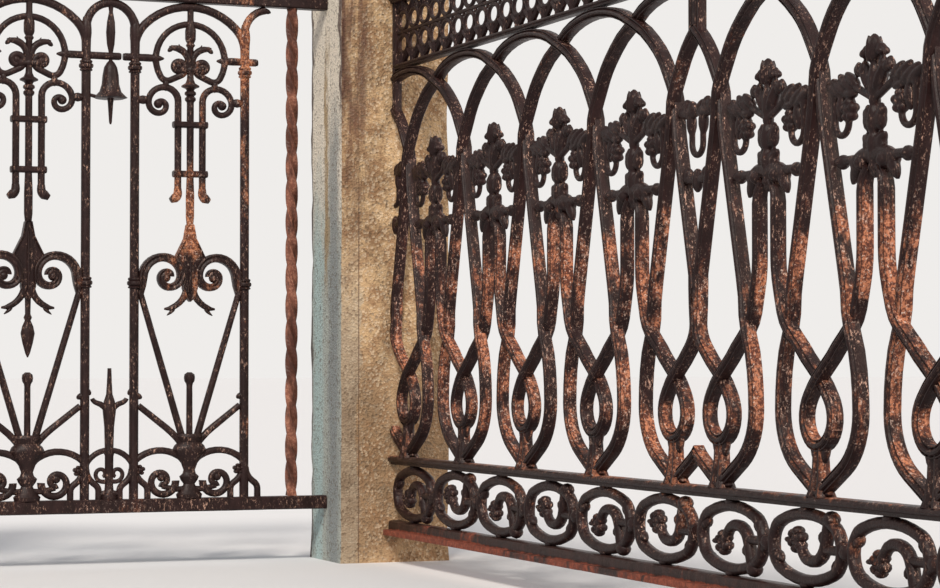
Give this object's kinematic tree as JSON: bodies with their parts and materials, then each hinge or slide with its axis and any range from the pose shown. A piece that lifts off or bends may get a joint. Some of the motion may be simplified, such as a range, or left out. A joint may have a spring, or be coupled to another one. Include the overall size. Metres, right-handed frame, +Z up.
{
  "type": "wrought iron fence corner",
  "caption": "Corner of an old iron fence: a granite post joins an interlaced cast arcade with foliate finials to a run of bars with rings and scrolls.",
  "frame": {"origin": "middle of the corner post's foot, on the ground", "axes": "+X along the cast arcade, -Y along the bar-and-scroll run, +Z up"},
  "size_m": [2.666, 1.19, 1.087],
  "materials": {
    "granite": "weathered granular granite with lime streaks and dark stains",
    "cast_iron": "old dark paint flaking to rust",
    "sill_iron": "rust red",
    "wrought_iron": "blackened, rust along edges and where water stands",
    "twisted_iron": "even brown rust"
  },
  "bodies": {
    "root": {"arcade_a_bottom_rail": "sill_iron", "arcade_a_finials": "cast_iron", "arcade_a_left_stile": "cast_iron", "arcade_a_loop_frieze": "cast_iron", "arcade_a_lower_rail": "cast_iron", "arcade_a_right_stile": "cast_iron", "arcade_a_scroll_frieze": "cast_iron", "arcade_a_top_rail": "cast_iron", "arcade_a_tracery": "cast_iron", "arcade_a_upper_rail": "cast_iron", "arcade_b_bottom_rail": "sill_iron", "arcade_b_finials": "cast_iron", "arcade_b_left_stile": "cast_iron", "arcade_b_loop_frieze": "cast_iron", "arcade_b_lower_rail": "cast_iron", "arcade_b_right_stile": "cast_iron", "arcade_b_scroll_frieze": "cast_iron", "arcade_b_top_rail": "cast_iron", "arcade_b_tracery": "cast_iron", "arcade_b_upper_rail": "cast_iron", "arcade_end_post": "granite", "corner_post": "granite", "scroll_run_arches": "wrought_iron", "scroll_run_bands": "wrought_iron", "scroll_run_base_scrolls": "wrought_iron", "scroll_run_bell_drop": "wrought_iron", "scroll_run_bottom_rail": "wrought_iron", "scroll_run_centre_rods": "wrought_iron", "scroll_run_cross_bars": "wrought_iron", "scroll_run_end_post": "granite", "scroll_run_fan_braces": "wrought_iron", "scroll_run_far_twisted_bar": "twisted_iron", "scroll_run_heart_scrolls": "wrought_iron", "scroll_run_near_twisted_bar": "twisted_iron", "scroll_run_rings": "wrought_iron", "scroll_run_side_rods": "wrought_iron", "scroll_run_top_rail": "wrought_iron", "scroll_run_tulip": "wrought_iron", "scroll_run_upright_bars": "wrought_iron"}
  },
  "joints": []
}
